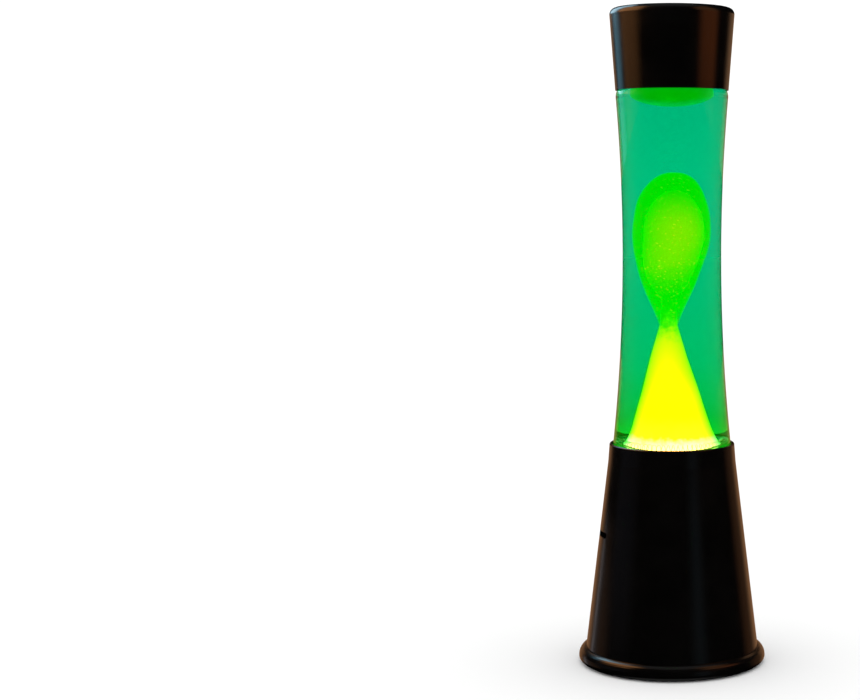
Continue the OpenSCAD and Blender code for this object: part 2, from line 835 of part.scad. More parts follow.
module crown_closure() {
    crown_play = 0.2;
    bend_h = 1;
    skin_r = finish_d / 2 + crown_t + crown_play;
    steps = crown_flutes * 8;
    color("#c8a84a")
    difference() {
        union() {
            translate([0, 0, crown_top_z - crown_skirt_h])
                linear_extrude(height = crown_skirt_h - bend_h)
                    polygon([for (i = [0:steps - 1])
                        let (a = 360 * i / steps, r = skin_r + flute_depth * (1 + cos(crown_flutes * a)))
                        [r * cos(a), r * sin(a)]]);
            translate([0, 0, crown_top_z - bend_h])
                cylinder(h = bend_h, r1 = skin_r, r2 = skin_r - crown_play);
        }
        translate([0, 0, seal_z - crown_skirt_h]) cylinder(h = crown_skirt_h, d = finish_d + crown_play);
    }
}

module top_cap() {
    top_r = cap_top_d / 2;
    edge = [top_r - cap_edge_r, cap_top_z - cap_edge_r];
    color("#151311")
    rotate_extrude()
        polygon(concat(
            [[0, cap_top_z]],
            arc(edge, cap_edge_r, 90, 0, arc_steps),
            [[cap_mouth_r, cap_z],
            [cap_mouth_in_r, cap_z]],
            arc(edge, cap_edge_r - cap_t, 0, 90, arc_steps),
            [[0, cap_top_z - cap_t]]));
}

base_shell();
bottle_seat();
cord_grommet();
bottom_plate();
plate_tabs();
plate_screws();
rubber_feet();
socket_bracket();
bracket_rivets();
threaded_nipple();
nipple_nut();
lock_washer();
lampholder_cup();
lampholder_sleeve();
lampholder_insert();
lampholder_thread();
centre_contact();
side_contact();
terminal_screws();
bulb_contact();
bulb_insulator();
bulb_screw_shell();
bulb_envelope();
bulb_reflector();
bulb_stem();
bulb_leads();
bulb_filament();
glass_bottle();
lava_liquid();
wax_column();
wax_top_pool();
wire_coil();
closure_liner();
crown_closure();
top_cap();
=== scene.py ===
"""Looks of a lava lamp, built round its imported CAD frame.

Everything is in metres in the CAD frame: +Z up, -Y the front, origin at the
middle of the footprint. The glass, the liquid, the wax and the wire coil are
modelled here; the metal, rubber and ceramic parts are the CAD's own.
"""
import json
import math

import bmesh
import bpy
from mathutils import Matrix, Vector, noise


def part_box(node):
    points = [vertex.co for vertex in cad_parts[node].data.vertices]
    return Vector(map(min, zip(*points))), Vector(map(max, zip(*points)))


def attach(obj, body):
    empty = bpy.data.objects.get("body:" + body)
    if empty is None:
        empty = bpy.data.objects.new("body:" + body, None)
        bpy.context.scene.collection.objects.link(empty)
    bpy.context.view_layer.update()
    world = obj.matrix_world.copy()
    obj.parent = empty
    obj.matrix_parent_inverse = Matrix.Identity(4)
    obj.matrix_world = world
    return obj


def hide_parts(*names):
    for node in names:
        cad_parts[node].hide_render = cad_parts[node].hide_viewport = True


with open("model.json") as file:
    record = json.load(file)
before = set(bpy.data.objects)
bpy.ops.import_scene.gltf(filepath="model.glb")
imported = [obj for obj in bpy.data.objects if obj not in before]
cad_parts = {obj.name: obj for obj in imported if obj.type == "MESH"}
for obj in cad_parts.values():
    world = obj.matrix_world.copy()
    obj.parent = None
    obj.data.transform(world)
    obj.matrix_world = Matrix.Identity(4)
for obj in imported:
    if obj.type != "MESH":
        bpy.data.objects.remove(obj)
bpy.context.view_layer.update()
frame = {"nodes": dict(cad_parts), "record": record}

MM = 0.001
NODES = frame["nodes"]
ROUND = 192          # segments round the axis
ON_AXIS = 1e-7       # a radius below this is the axis itself


# ---------------------------------------------------------------- sizes

def span(node):
    """Lowest z, highest z and radius of a CAD node that is round about the axis."""
    low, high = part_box(node)
    return low.z, high.z, high.x


BOTTLE_Z, BOTTLE_TOP, _ = span("glass_bottle")
COLUMN_Z, COLUMN_TOP, _ = span("wax_column")
POOL_Z, POOL_TOP, POOL_R = span("wax_top_pool")
COIL_Z, COIL_TOP, COIL_OUT_R = span("wire_coil")
_, FILL_Z, _ = span("lava_liquid")
CAP_Z, _, _ = span("top_cap")
_, RIM_Z, _ = span("base_shell")

# Glass bottle
WAIST_R = 30.1 * MM
WAIST_Z = BOTTLE_Z + 124 * MM
WALL_ARC_R = 1117 * MM
WALL_CENTRE_R = WAIST_R + WALL_ARC_R
SHOULDER_Z = BOTTLE_Z + 219 * MM
SHOULDER_R = 8 * MM
DOME_SLOPE = math.radians(30)
GLASS_T = 3 * MM
FLOOR_Z = BOTTLE_Z + 5 * MM
HEEL_R = 8 * MM
INNER_HEEL_R = 5 * MM
PUNT_H = 1.5 * MM
PUNT_W = 8 * MM
NECK_R = 12 * MM
BORE_R = 8.3 * MM
FINISH_R = 13.3 * MM           # the finish is the ringed mouth that the crown grips
# Outline of the finish: how far out, and how far below the bottle's top
FINISH = [
    (NECK_R, 14 * MM), (FINISH_R, 13 * MM), (FINISH_R, 10 * MM), (NECK_R + 0.4 * MM, 8 * MM),
    (FINISH_R, 4.5 * MM), (FINISH_R, 1 * MM), (FINISH_R - 1 * MM, 0), (BORE_R, 0),
]

# Liquid: it reaches a hair into the glass, and its surface curls up at the glass
LIQUID_OVERLAP = 0.05 * MM
# How far in from the glass, and how far below the curl's top, the surface is
CURL = [(0, 0), (1.5 * MM, 0.6 * MM), (4 * MM, 0.8 * MM)]
PAINTED_FOOT_GLOW = 0.09               # painted glow: green emission on the liquid round the foot of the cone, standing in for the bulb's light scattered there
PAINTED_GLOW_LOW, PAINTED_GLOW_HIGH = RIM_Z + 4 * MM, RIM_Z + 11 * MM

# Wax: the cone, its thin neck and the drop above it
DROP_R = 18 * MM
DROP_MID_H = 133.4 * MM
DROP_RISE = COLUMN_TOP - FLOOR_Z - DROP_MID_H
WAX_NECK_R = 4.5 * MM
WAX_NECK_H = 75.7 * MM
WAX_FOOT_R = 21.4 * MM
WAX_FLARE = 1.6 * MM           # the cone spreads this much further over its lowest part
WAX_FLARE_H = 14 * MM
TAIL_CURVE = 1.2               # how the drop's tail swells
CROWN_CURVE = 0.42             # how blunt the drop's top is
RIPPLES = 55                   # bumps to the metre on the wax
RIPPLE_H = 0.5 * MM
POOL_WIDEST_Z = POOL_Z + 9.6 * MM
# The bright heart of the drop: an inner core that carries the wax's painted glow
HEART_H = 132 * MM
HEART_R = 14 * MM
HEART_RISE = 26 * MM
HEART_FALL = 40 * MM
HEART_SHIFT = 1.0 * MM
SKIN_T = 0.5 * MM
# Height above the bottle's floor, and how far the column's middle stands to the right there
SWAY = [
    (0, 0), (30 * MM, -0.6 * MM), (60 * MM, -1.5 * MM), (102 * MM, -1.5 * MM), (132 * MM, -0.1 * MM),
    (150 * MM, 0), (168 * MM, 0.9 * MM),
]

# Wire ring on the bottle's floor
WIRE_R = 0.15 * MM
WIRE_SIDES = 8
COIL_TURNS = 56
COIL_STEPS = COIL_TURNS * 16


# ---------------------------------------------------------------- outlines

def oval(centre, rx, rz, start, end, steps):
    """Points (r, z) on an ellipse about centre, from one angle to another in radians."""
    return [
        (centre[0] + rx * math.cos(a), centre[1] + rz * math.sin(a))
        for a in (start + (end - start) * i / steps for i in range(steps + 1))
    ]


def arc(centre, radius, start, end, steps):
    """Points (r, z) on an arc about centre."""
    return oval(centre, radius, radius, start, end, steps)


def wall(radius, start, end, steps):
    """Points (r, z) on the bottle's long wall curve, at a radius about its far centre."""
    return [
        (WALL_CENTRE_R - radius * math.cos(a), WAIST_Z + radius * math.sin(a))
        for a in (start + (end - start) * i / steps for i in range(steps + 1))
    ]


def tangent_arc(height, arc_r, corner_r):
    """Lean and centre radius of a corner arc that meets the wall curve, height away from the waist."""
    lean = math.asin(height / (arc_r + corner_r))
    return lean, WALL_CENTRE_R - (arc_r + corner_r) * math.cos(lean)


HEEL_LEAN, HEEL_X = tangent_arc(WAIST_Z - BOTTLE_Z - HEEL_R, WALL_ARC_R, HEEL_R)
SHOULDER_LEAN, SHOULDER_X = tangent_arc(SHOULDER_Z - WAIST_Z, WALL_ARC_R, SHOULDER_R)
RIGHT = math.pi / 2


def dome_z(r, corner_r):
    """Height of the bottle's sloping top at radius r, above a shoulder of that corner radius."""
    edge_r = SHOULDER_X + corner_r * math.sin(DOME_SLOPE)
    return SHOULDER_Z + corner_r * math.cos(DOME_SLOPE) + (edge_r - r) * math.tan(DOME_SLOPE)


def cavity(clearance):
    """Outline of the bottle's inside from the middle of its floor to the top of the shoulder's arc."""
    inner_r = WALL_ARC_R + GLASS_T + clearance
    heel = INNER_HEEL_R - clearance
    lean, x = tangent_arc(WAIST_Z - FLOOR_Z - INNER_HEEL_R, inner_r, heel)
    return (
        [(0, FLOOR_Z + clearance)]
        + arc((x, FLOOR_Z + INNER_HEEL_R), heel, -RIGHT, lean, 12)
        + wall(inner_r, -lean, SHOULDER_LEAN, 96)
        + arc((SHOULDER_X, SHOULDER_Z), SHOULDER_R - GLASS_T - clearance, -SHOULDER_LEAN,
              RIGHT - DOME_SLOPE, 16)
    )


def smooth(t):
    """0 to 1 with level ends."""
    t = min(max(t, 0), 1)
    return t * t * (3 - 2 * t)


# ---------------------------------------------------------------- meshes

def add_object(name, data):
    """Puts an object that holds a mesh or a camera in the scene."""
    made = bpy.data.objects.new(name, data)
    bpy.context.scene.collection.objects.link(made)
    return made


def new_piece(name, mesh, material, body, slot, *replaced):
    """Puts a mesh in the scene as a piece that rides a body and stands for CAD nodes."""
    piece = add_object(name, mesh)
    mesh.materials.append(MATERIALS[material])
    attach(piece, body)
    if replaced:
        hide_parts(*replaced)


def lathe(name, outline, sharp, shift=lambda r, z: lambda angle: Vector((0, 0, 0))):
    """A closed mesh turned round the Z axis, from an outline of (r, z) that starts and ends on the axis.

    Edges steeper than sharp degrees stay crisp. shift(r, z) gives, for a ring of
    points, how far the point at each angle is moved.
    """
    mesh = bpy.data.meshes.new(name)
    bm = bmesh.new()
    rings = []
    for r, z in outline:
        move = shift(r, z)
        angles = [2 * math.pi * i / ROUND for i in range(ROUND)] if r > ON_AXIS else [0]
        rings.append([bm.verts.new(Vector((r * math.cos(a), r * math.sin(a), z)) + move(a)) for a in angles])
    for low, high in zip(rings, rings[1:]):
        for i in range(ROUND):
            j = (i + 1) % ROUND
            corners = [low[i % len(low)], low[j % len(low)], high[j % len(high)], high[i % len(high)]]
            corners = [v for k, v in enumerate(corners) if v not in corners[:k]]
            if len(corners) > 2:
                bm.faces.new(corners)
    bmesh.ops.recalc_face_normals(bm, faces=bm.faces)
    bm.to_mesh(mesh)
    bm.free()
    mesh.shade_smooth()
    mesh.set_sharp_from_angle(angle=math.radians(sharp))
    return mesh


def tube(name, points, radius, sides):
    """A mesh tube swept along a closed loop of points."""
    mesh = bpy.data.meshes.new(name)
    bm = bmesh.new()
    count = len(points)
    rings = []
    normal = None
    for i, p in enumerate(points):
        along = (points[(i + 1) % count] - points[i - 1]).normalized()
        if normal is None:
            normal = along.orthogonal().normalized()
        normal = (normal - along * normal.dot(along)).normalized()
        other = along.cross(normal)
        turns = [2 * math.pi * k / sides for k in range(sides)]
        rings.append([bm.verts.new(p + radius * (math.cos(a) * normal + math.sin(a) * other)) for a in turns])
    for i in range(count):
        low, high = rings[i], rings[(i + 1) % count]
        twist = 0
        if i == count - 1:      # the last ring has turned a little against the first one
            twist = min(range(sides), key=lambda t: (low[0].co - high[t].co).length)
        for k in range(sides):
            m = (k + 1) % sides
            bm.faces.new([low[k], low[m], high[(m + twist) % sides], high[(k + twist) % sides]])
    bmesh.ops.recalc_face_normals(bm, faces=bm.faces)
    bm.to_mesh(mesh)
    bm.free()
    mesh.shade_smooth()
    return mesh


# ---------------------------------------------------------------- materials

class Material:
    """A node material with one Principled shader, and short ways to drive it."""

    def __init__(self, name, colour, **values):
        self.data = bpy.data.materials.new(name)
        self.data.use_nodes = True
        self.nodes = self.data.node_tree.nodes
        self.links = self.data.node_tree.links
        self.shader = self.nodes["Principled BSDF"]
        self.shader.inputs["Base Color"].default_value = (*colour, 1)
        for key, value in values.items():
            self.shader.inputs[key.replace("_", " ").title().replace("Ior", "IOR")].default_value = value
        self.place = self.nodes.new("ShaderNodeTexCoord").outputs["Object"]

    def node(self, kind, inputs=None, **settings):
        made = self.nodes.new("ShaderNode" + kind)
        for key, value in settings.items():
            setattr(made, key, value)
        for key, value in (inputs or {}).items():
            if isinstance(value, bpy.types.NodeSocket):
                self.links.new(value, made.inputs[key])
            else:
                made.inputs[key].default_value = value
        return made

    def noise(self, scale, detail=3, rough=0.5, stretch=None):
        """Noise of that many bumps to the metre, from 0 to 1."""
        where = self.place
        if stretch:
            where = self.node("Mapping", {"Vector": where, "Scale": stretch}).outputs[0]
        made = self.node("TexNoise", {"Vector": where, "Scale": scale, "Detail": detail, "Roughness": rough})
        return made.outputs[0]

    def spread(self, value, low, high, start=0.3, end=0.7):
        """value from start to end, mapped to low to high."""
        made = self.node("MapRange", {
            "Value": value, "From Min": start, "From Max": end, "To Min": low, "To Max": high})
        return made.outputs[0]

    def math(self, operation, a, b):
        return self.node("Math", {0: a, 1: b}, operation=operation).outputs[0]

    def ramp(self, value, stops):
        """Colours along a value from 0 to 1."""
        made = self.node("ValToRGB", {"Fac": value})
        elements = made.color_ramp.elements
        while len(elements) < len(stops):
            elements.new(0.5)
        for element, (at, colour) in zip(elements, stops):
            element.position = at
            element.color = (*colour, 1)
        return made.outputs[0]

    def height(self, low, high):
        """How far up between two heights the surface is, from 0 to 1."""
        z = self.node("SeparateXYZ", {"Vector": self.place}).outputs["Z"]
        return self.spread(z, 0, 1, low, high)

    def mix(self, share, a, b):
        """Colour a where share is 0 and colour b where it is 1."""
        made = self.node("Mix", data_type="RGBA")
        for socket, value in ((made.inputs[0], share), (made.inputs[6], a), (made.inputs[7], b)):
            if isinstance(value, bpy.types.NodeSocket):
                self.links.new(value, socket)
            elif isinstance(value, (int, float)):
                socket.default_value = value
            else:
                socket.default_value = (*value, 1)
        return made.outputs[2]

    def drive(self, socket, value):
        self.links.new(value, self.shader.inputs[socket])

    def bump(self, height, depth, strength=1.0):
        made = self.node("Bump", {"Height": height, "Distance": depth, "Strength": strength})
        self.drive("Normal", made.outputs[0])

    def absorb(self, colour, density):
        """The inside takes up light that isn't of that colour."""
        made = self.node("VolumeAbsorption", {"Color": (*colour, 1), "Density": density})
        self.links.new(made.outputs[0], self.nodes["Material Output"].inputs["Volume"])


def grained(name, colour, other, scale, rough, bump_scale, depth, **values):
    """A solid material whose colour, roughness and surface vary with noise."""
    m = Material(name, colour, **values)
    patches = m.noise(scale, 4, 0.6)
    m.drive("Base Color", m.mix(m.spread(patches, 0, 1), colour, other))
    m.drive("Roughness", m.spread(patches, rough[0], rough[1]))
    m.bump(m.noise(bump_scale, 2, 0.5), depth)
    return m.data


def black_enamel():
    """Sprayed and baked gloss, with a fine orange peel and a haze in its shine."""
    m = Material("black_enamel", (0.010, 0.008, 0.007), specular_ior_level=0.5, coat_weight=0.0)
    peel = m.noise(900, 2, 0.5)
    haze = m.noise(45, 4, 0.6)
    m.drive("Base Color", m.mix(m.spread(haze, 0, 1), (0.0004, 0.0003, 0.0003), (0.0012, 0.0009, 0.0007)))
    m.drive("Roughness", m.spread(haze, 0.17, 0.24))
    m.bump(peel, 0.02 * MM, 0.35)
    return m.data


def bottle_glass():
    """Clear glass with a faint green. The dark specular tint keeps light that is mirrored inside it away."""
    m = Material("bottle_glass", (0.72, 1.0, 0.99), transmission_weight=1.0, roughness=0.0, ior=1.5,
                 specular_tint=(0.02, 0.02, 0.02, 1.0))
    m.bump(m.noise(60, 2, 0.4), 0.03 * MM, 0.3)
    return m.data


def green_liquid():
    """Painted light: greener low down, where the lamp lights it, and more turquoise higher up."""
    m = Material("green_liquid", (1.0, 0.566, 0.207), transmission_weight=1.0, roughness=0.0, ior=1.33,
                 specular_tint=(0.0, 0.0, 0.0, 1.0), emission_strength=PAINTED_FOOT_GLOW)
    # Painted glow: green emission at the foot of the liquid, where the bulb's light comes up through the glass
    m.drive("Emission Color", m.ramp(m.height(PAINTED_GLOW_LOW, PAINTED_GLOW_HIGH), [(0, (0, 1, 0)), (1, (0, 0, 0))]))
    up = m.math("ADD", m.height(RIM_Z, CAP_Z), m.spread(m.noise(18, 2, 0.5), -0.02, 0.02))
    # The tint's height ramp is painted light: less blue low down, where the lamp lights the liquid; the noise
    # varies it at random
    m.drive("Base Color", m.ramp(up, [
        (0.02, (1.0, 0.46, 0.015)), (0.11, (1.0, 0.47, 0.065)), (0.22, (1.0, 0.47, 0.12)),
        (0.40, (1.0, 0.465, 0.155)), (0.55, (1.0, 0.48, 0.185)), (0.82, (1.0, 0.465, 0.180)),
        (0.97, (1.0, 0.43, 0.175))]))
    m.absorb((0.0, 1.0, 1.0), 200.0)
    return m.data


def lit_wax():
    """The heart of the wax, with a painted glow that stands in for the bulb's light: cream at the foot, yellow up
    the cone, green past the neck.
    """
    m = Material("lit_wax", (0.12, 0.30, 0.0), roughness=0.35, ior=1.44, emission_strength=90.0)
    up = m.height(COLUMN_Z, COLUMN_TOP)
    grain = m.math("MULTIPLY", m.spread(m.noise(300, 4, 0.7), -1, 1), m.spread(up, 0.009, 0.035, 0.1, 0.42))
    # Painted light: emission from cream at the foot, where the bulb's light comes in, to yellow up the cone and
    # green past the neck; the grain noise jitters it
    m.drive("Emission Color", m.ramp(m.math("ADD", up, grain), [
        (0.0, (1.0, 0.060, 0.080)), (0.024, (1.0, 0.050, 0.065)), (0.046, (0.8, 0.020, 0.001)),
        (0.12, (0.9, 0.0160, 0.0)), (0.24, (1.0, 0.0160, 0.0)), (0.39, (1.0, 0.0150, 0.0)),
        (0.425, (0.50, 0.0140, 0.0)), (0.455, (0.08, 0.0120, 0.0)), (0.49, (0.008, 0.0090, 0.0)),
        (0.54, (0.003, 0.0084, 0.0)), (0.60, (0.025, 0.0086, 0.0)), (0.68, (0.090, 0.0090, 0.0)),
        (0.80, (0.115, 0.0090, 0.0)), (1.0, (0.105, 0.0084, 0.0))]))
    m.bump(m.noise(650, 2, 0.5), 0.1 * MM, 0.3)
    return m.data


def wax_skin():
    """The clearer green outer layer of the wax, with a faint painted glow and bright flecks, that lets the
    heart's painted glow show through. The flecks are the wax's real grain, painted as brighter glow.
    """
    m = Material("wax_skin", (1.0, 1.0, 1.0), transmission_weight=1.0, roughness=0.0, ior=1.0,
                 emission_strength=20.0)
    up = m.height(COLUMN_Z, COLUMN_TOP)
    fleck = m.spread(m.noise(650, 2, 0.5, (1, 1, 1.6)), 0, 1, 0.63, 0.70)
    plain = m.ramp(up, [
        (0.0, (0, 0.001, 0)), (0.42, (0, 0.0015, 0)), (0.50, (0, 0.011, 0)), (0.70, (0, 0.0095, 0)),
        (1.0, (0, 0.0085, 0))])
    flecked = m.ramp(up, [
        (0.0, (0, 0.001, 0)), (0.40, (0.3, 0.004, 0)), (0.47, (1.0, 0.015, 0.001)),
        (0.55, (0.6, 0.014, 0.001)), (0.75, (0.16, 0.013, 0.001)), (1.0, (0.10, 0.014, 0.001))])
    # Painted light: the skin's emission by height, brighter where flecked
    m.drive("Emission Color", m.mix(fleck, plain, flecked))
    m.absorb((0.375, 1.0, 0.0), 400.0)
    return m.data


def dim_wax():
    """The pool under the cap, far from the lamp and evenly green, with a dim painted glow."""
    m = Material("dim_wax", (0.02, 0.30, 0.0), roughness=0.3, ior=1.44, emission_strength=1.0)
    cells = m.noise(120, 3, 0.5)
    # Painted light: a dim green glow, patchy with the noise
    m.drive("Emission Color", m.mix(m.spread(cells, 0, 1), (0.0, 0.50, 0.0), (0.0, 0.62, 0.0)))
    m.bump(cells, 0.1 * MM, 0.3)
    return m.data


def glowing_wire():
    m = Material("glowing_wire", (0.3, 0.2, 0.1), roughness=0.5, emission_strength=60.0)
    m.drive("Emission Color", m.ramp(m.noise(900), [(0.3, (1.0, 0.62, 0.25)), (0.7, (1.0, 0.78, 0.45))]))
    return m.data


def bulb_glass():
    m = Material("bulb_glass", (0.98, 0.98, 0.98), transmission_weight=1.0, roughness=0.0, ior=1.5)
    m.bump(m.noise(90, 2, 0.4), 0.01 * MM, 0.3)
    return m.data


def make_materials():
    """Each material by its slot's name. wax_skin is the only one that the record doesn't name."""
    steel = dict(metallic=1.0)
    return {
        "black_enamel": black_enamel(),
        "zinc_steel": grained("zinc_steel", (0.55, 0.57, 0.60), (0.42, 0.44, 0.47), 90, (0.28, 0.45), 700,
                              0.02 * MM, **steel),
        "black_steel": grained("black_steel", (0.018, 0.018, 0.019), (0.030, 0.030, 0.031), 60, (0.42, 0.58),
                               1400, 0.03 * MM),
        "screw_steel": grained("screw_steel", (0.62, 0.63, 0.65), (0.50, 0.51, 0.53), 400, (0.22, 0.36),
                               2000, 0.01 * MM, **steel),
        "foot_rubber": grained("foot_rubber", (0.020, 0.020, 0.020), (0.034, 0.034, 0.034), 200, (0.62, 0.80),
                               2500, 0.05 * MM),
        "grommet_rubber": grained("grommet_rubber", (0.014, 0.014, 0.014), (0.024, 0.024, 0.024), 300,
                                  (0.50, 0.68), 2500, 0.03 * MM),
        "holder_ceramic": grained("holder_ceramic", (0.80, 0.78, 0.72), (0.74, 0.72, 0.65), 120, (0.20, 0.34),
                                  500, 0.03 * MM),
        "insert_ceramic": grained("insert_ceramic", (0.72, 0.68, 0.58), (0.64, 0.60, 0.50), 150, (0.40, 0.60),
                                  900, 0.04 * MM),
        "contact_brass": grained("contact_brass", (0.78, 0.57, 0.25), (0.66, 0.45, 0.18), 250, (0.24, 0.42),
                                 1200, 0.01 * MM, **steel),
        "bulb_tin": grained("bulb_tin", (0.62, 0.63, 0.64), (0.48, 0.49, 0.50), 500, (0.30, 0.45), 1500,
                            0.02 * MM, **steel),
        "bulb_black_glass": grained("bulb_black_glass", (0.012, 0.012, 0.016), (0.02, 0.02, 0.025), 300,
                                    (0.08, 0.16), 600, 0.01 * MM),
        "bulb_metal": grained("bulb_metal", (0.66, 0.66, 0.67), (0.55, 0.55, 0.56), 300, (0.20, 0.34), 1200,
                              0.01 * MM, **steel),
        "bulb_glass": bulb_glass(),
        "bulb_mirror": grained("bulb_mirror", (0.88, 0.88, 0.90), (0.82, 0.82, 0.84), 200, (0.04, 0.10), 600,
                               0.005 * MM, **steel),
        "bulb_wire": grained("bulb_wire", (0.50, 0.48, 0.46), (0.40, 0.38, 0.36), 900, (0.25, 0.40), 3000,
                             0.005 * MM, **steel),
        "glowing_wire": glowing_wire(),
        "bottle_glass": bottle_glass(),
        "green_liquid": green_liquid(),
        "lit_wax": lit_wax(),
        "wax_skin": wax_skin(),
        "dim_wax": dim_wax(),
        "coil_wire": grained("coil_wire", (0.55, 0.54, 0.50), (0.40, 0.39, 0.36), 800, (0.30, 0.50), 3000,
                             0.01 * MM, metallic=0.8),
        "seal_liner": grained("seal_liner", (0.72, 0.72, 0.70), (0.64, 0.64, 0.61), 250, (0.50, 0.65), 1500,
                              0.02 * MM),
        "crown_metal": grained("crown_metal", (0.70, 0.56, 0.30), (0.60, 0.47, 0.24), 220, (0.22, 0.36), 1000,
                               0.01 * MM, **steel),
    }


MATERIALS = make_materials()


def paint_frame():
    """Gives every CAD node the material of its slot in the record."""
    for part in frame["record"]["subparts"]:
        mesh = NODES[part["node"]].data
        mesh.materials.clear()
        mesh.materials.append(MATERIALS[part["material_slot"]])


# ---------------------------------------------------------------- pieces

def make_bottle():
    outline = (
        [(0, BOTTLE_Z + PUNT_H)]
        + [(HEEL_X - PUNT_W, BOTTLE_Z)]
        + arc((HEEL_X, BOTTLE_Z + HEEL_R), HEEL_R, -RIGHT, HEEL_LEAN, 20)
        + wall(WALL_ARC_R, -HEEL_LEAN, SHOULDER_LEAN, 96)
        + arc((SHOULDER_X, SHOULDER_Z), SHOULDER_R, -SHOULDER_LEAN, RIGHT - DOME_SLOPE, 20)
        + [(NECK_R, dome_z(NECK_R, SHOULDER_R))]
        + [(r, BOTTLE_TOP - down) for r, down in FINISH]
        + [(BORE_R, dome_z(BORE_R, SHOULDER_R - GLASS_T))]
        + cavity(0)[::-1]
    )
    mesh = lathe("bottle_glass_body", outline, 35)
    new_piece("bottle_glass_body", mesh, "bottle_glass", "bottle", "bottle_glass", "glass_bottle")


def make_liquid():
    """The liquid reaches a hair into the glass, so that no film of air shows between them."""
    outline = cavity(-LIQUID_OVERLAP)
    top_r, top_z = outline[-1]
    fill_r = top_r - (FILL_Z - top_z) / math.tan(DOME_SLOPE)
    outline += [(fill_r - aside, FILL_Z - down) for aside, down in CURL]
    outline.append((0, outline[-1][1]))
    mesh = lathe("liquid", outline, 50)
    new_piece("liquid", mesh, "green_liquid", "bottle", "green_liquid", "lava_liquid")


def wax_r(h):
    """Radius of the wax column at height h above the bottle's floor."""
    if h < WAX_NECK_H:
        flare = WAX_FLARE * max(0, 1 - h / WAX_FLARE_H) ** 2
        return WAX_NECK_R + (WAX_FOOT_R - WAX_NECK_R) * (WAX_NECK_H - h) / WAX_NECK_H + flare
    if h < DROP_MID_H:
        s = (h - WAX_NECK_H) / (DROP_MID_H - WAX_NECK_H)
        return WAX_NECK_R + (DROP_R - WAX_NECK_R) * math.sin(RIGHT * s) ** TAIL_CURVE
    return DROP_R * max(0, 1 - ((h - DROP_MID_H) / DROP_RISE) ** 2) ** CROWN_CURVE


def sway_at(h):
    """How far to the right the column's middle stands at height h."""
    return sum((x1 - x0) * smooth((h - h0) / (h1 - h0)) for (h0, x0), (h1, x1) in zip(SWAY, SWAY[1:]))


def heart_shift(r, z):
    """The heart of the drop stands a little to the right of the drop's middle."""
    h = z - FLOOR_Z
    aside = HEART_SHIFT * smooth((h - HEART_H + HEART_RISE) / HEART_RISE)
    return lambda angle: Vector((sway_at(h) + aside, 0, 0))


def wax_shift(r, z):
    """How far the column leans at height z, and how its skin ripples."""
    sway = sway_at(z - FLOOR_Z)

    def at(angle):
        out = Vector((math.cos(angle), math.sin(angle), 0))
        ripple = noise.noise((out * r + Vector((0, 0, z))) * RIPPLES) * RIPPLE_H * min(1, r / DROP_R)
        return Vector((sway, 0, 0)) + out * ripple
    return at


def heart_r(h):
    """Radius of the heart with the painted glow at height h: just inside the wax up to the neck, then an oval in
    the drop.
    """
    inside = wax_r(h) - SKIN_T
    if h < WAX_NECK_H:
        return inside
    reach = HEART_FALL if h < HEART_H else HEART_RISE
    oval_r = HEART_R * math.sqrt(max(0, 1 - ((h - HEART_H) / reach) ** 2))
    stem_r = (WAX_NECK_R - SKIN_T) * (1 - smooth((h - WAX_NECK_H) / (HEART_H - WAX_NECK_H)))
    return min(inside, max(oval_r, stem_r))


def heights(low, high, steps):
    """Even steps from just above one height up to another."""
    return [low + (high - low) * i / steps for i in range(1, steps + 1)]


def crown_heights(low, rise, steps):
    """Heights that crowd together towards a rounded top, without the top itself."""
    return [low + rise * math.sin(RIGHT * i / steps) for i in range(1, steps)]


def make_wax():
    """The column's clearer skin, the heart inside it that carries the painted glow, and the pool at the top."""
    cone = [0] + heights(0, WAX_NECK_H, 48)
    column = cone + heights(WAX_NECK_H, DROP_MID_H, 48) + crown_heights(DROP_MID_H, DROP_RISE, 40)
    outline = [(0, FLOOR_Z)] + [(wax_r(h), FLOOR_Z + h) for h in column] + [(0, COLUMN_TOP)]
    mesh = lathe("wax_rising", outline, 60, wax_shift)
    new_piece("wax_rising", mesh, "wax_skin", "bottle", "lit_wax", "wax_column")

    heart = cone + heights(WAX_NECK_H, HEART_H, 48) + crown_heights(HEART_H, HEART_RISE, 24)
    outline = [(0, FLOOR_Z + SKIN_T)] + [(heart_r(h), FLOOR_Z + max(h, SKIN_T)) for h in heart]
    outline.append((0, FLOOR_Z + HEART_H + HEART_RISE))
    mesh = lathe("wax_heart", outline, 60, heart_shift)
    new_piece("wax_heart", mesh, "lit_wax", "bottle", "lit_wax")

    middle = (0, POOL_WIDEST_Z)
    outline = oval(middle, POOL_R, POOL_WIDEST_Z - POOL_Z, -RIGHT, 0, 40)
    outline += oval(middle, POOL_R, POOL_TOP - POOL_WIDEST_Z, 0, RIGHT, 24)[1:]
    outline[0], outline[-1] = (0, POOL_Z), (0, POOL_TOP)
    mesh = lathe("wax_pool", outline, 60)
    new_piece("wax_pool", mesh, "dim_wax", "bottle", "dim_wax", "wax_top_pool")


def make_coil():
    """The heat-spreading ring on the bottle's floor: a wire coil bent into a ring."""
    coil_r = (COIL_TOP - COIL_Z) / 2 - WIRE_R
    ring_r = COIL_OUT_R - (COIL_TOP - COIL_Z) / 2
    middle = (COIL_TOP + COIL_Z) / 2
    points = []
    for i in range(COIL_STEPS):
        round_axis = 2 * math.pi * i / COIL_STEPS
        round_wire = round_axis * COIL_TURNS
        r = ring_r + coil_r * math.cos(round_wire)
        z = middle + coil_r * math.sin(round_wire)
        points.append(Vector((r * math.cos(round_axis), r * math.sin(round_axis), z)))
    mesh = tube("wire_ring", points, WIRE_R, WIRE_SIDES)
    new_piece("wire_ring", mesh, "coil_wire", "bottle", "coil_wire", "wire_coil")


# ---------------------------------------------------------------- stage, light and camera

